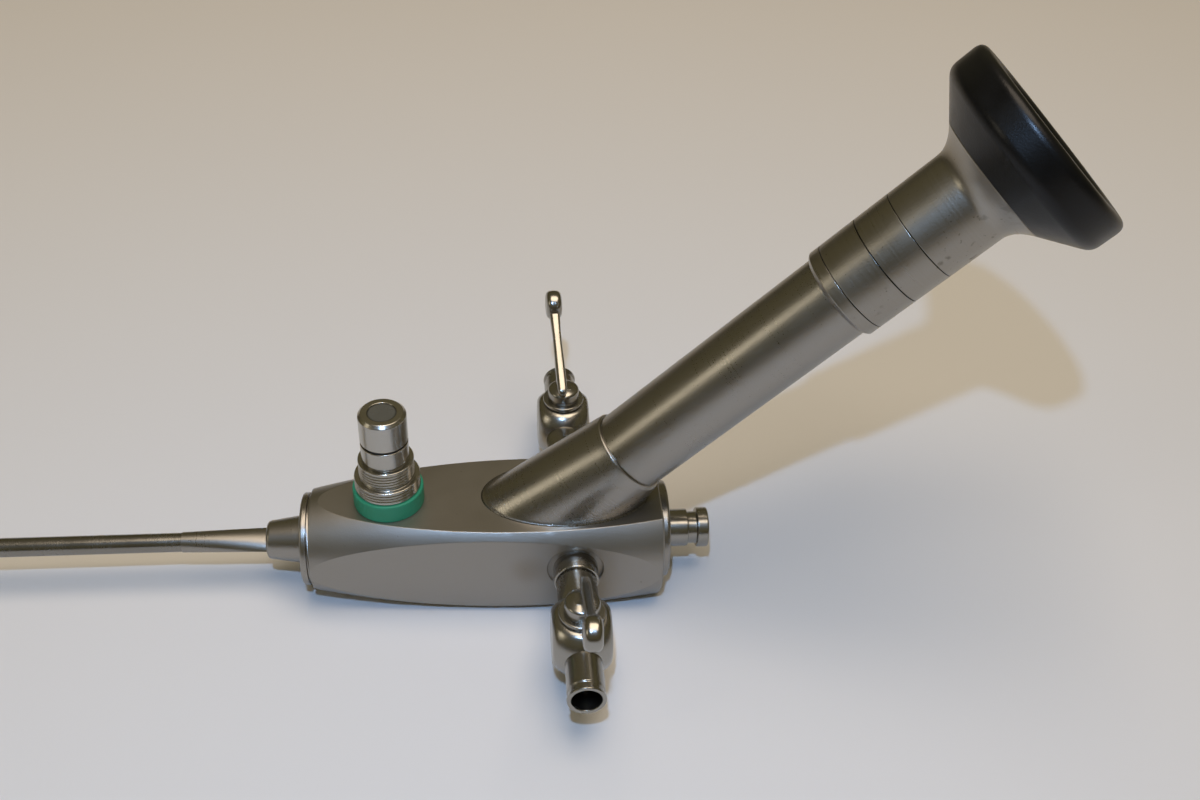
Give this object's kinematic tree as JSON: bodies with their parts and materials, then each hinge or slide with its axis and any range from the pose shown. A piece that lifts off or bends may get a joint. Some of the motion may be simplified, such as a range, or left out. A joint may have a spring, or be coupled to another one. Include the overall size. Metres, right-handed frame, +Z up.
{
  "type": "rigid endoscope",
  "caption": "Rigid endoscope with a long thin sheath, a slanted eyepiece, a light post, an instrument port and a lever stopcock on each side.",
  "frame": {"origin": "centre of the housing's bottom flat, on which the instrument stands", "axes": "+Z up out of the top flat and along the light post, +X along the housing from the sheath to the instrument port, +Y towards the rear stopcock"},
  "size_m": [0.4699, 0.0831, 0.0922],
  "materials": {
    "satin_steel": "satin, bead blasted",
    "polished_steel": "polished stainless steel",
    "black_plastic": "satin black",
    "green_plastic": "matt green",
    "black_rubber": "matt",
    "lens_glass": "polished",
    "fibre_glass": "bundled fibres",
    "black_metal": "black anodised",
    "brass_fitting": "turned"
  },
  "bodies": {
    "instrument": {"housing": "satin_steel", "distal_collar": "satin_steel", "shaft_cone": "satin_steel", "shaft_sleeve": "satin_steel", "sheath_tube": "polished_steel", "distal_tip": "polished_steel", "objective_lens": "lens_glass", "working_channel": "polished_steel", "image_bundle": "fibre_glass", "light_fibres": "fibre_glass", "rear_plate": "satin_steel", "instrument_port": "polished_steel", "port_seal": "black_rubber", "colour_ring": "green_plastic", "post_base": "polished_steel", "post_adapter": "polished_steel", "post_oring": "black_rubber", "post_tip": "polished_steel", "light_window": "lens_glass", "eyepiece_socket": "satin_steel", "eyepiece_tube": "satin_steel", "step_ring": "satin_steel", "marking_ring": "satin_steel", "spacer_ring": "satin_steel", "eyepiece_core": "satin_steel", "eyepiece_barrel": "satin_steel", "eyepiece_cup": "black_plastic", "eyepiece_window": "lens_glass", "ocular_lens_front": "lens_glass", "ocular_lens_rear": "lens_glass", "lens_spacer": "black_metal", "field_stop": "black_metal", "bundle_ferrule": "brass_fitting", "front_neck": "polished_steel", "front_cock_body": "polished_steel", "front_outlet": "polished_steel", "rear_neck": "polished_steel", "rear_cock_body": "polished_steel", "rear_outlet": "polished_steel"},
    "front_tap": {"front_plug": "polished_steel", "front_washer": "polished_steel", "front_nut": "polished_steel", "front_lever": "polished_steel"},
    "rear_tap": {"rear_plug": "polished_steel", "rear_washer": "polished_steel", "rear_nut": "polished_steel", "rear_lever": "polished_steel"}
  },
  "joints": [
    {"name": "front_lever_turn", "type": "hinge", "parent": "instrument", "child": "front_tap", "pos_m": [0.014, -0.024, 0.0098], "axis": [0, 0, 1], "range_deg": [-90, 90]},
    {"name": "rear_lever_turn", "type": "hinge", "parent": "instrument", "child": "rear_tap", "pos_m": [0.014, 0.0268, 0.0098], "axis": [0, 0, 1], "range_deg": [-90, 90]}
  ]
}
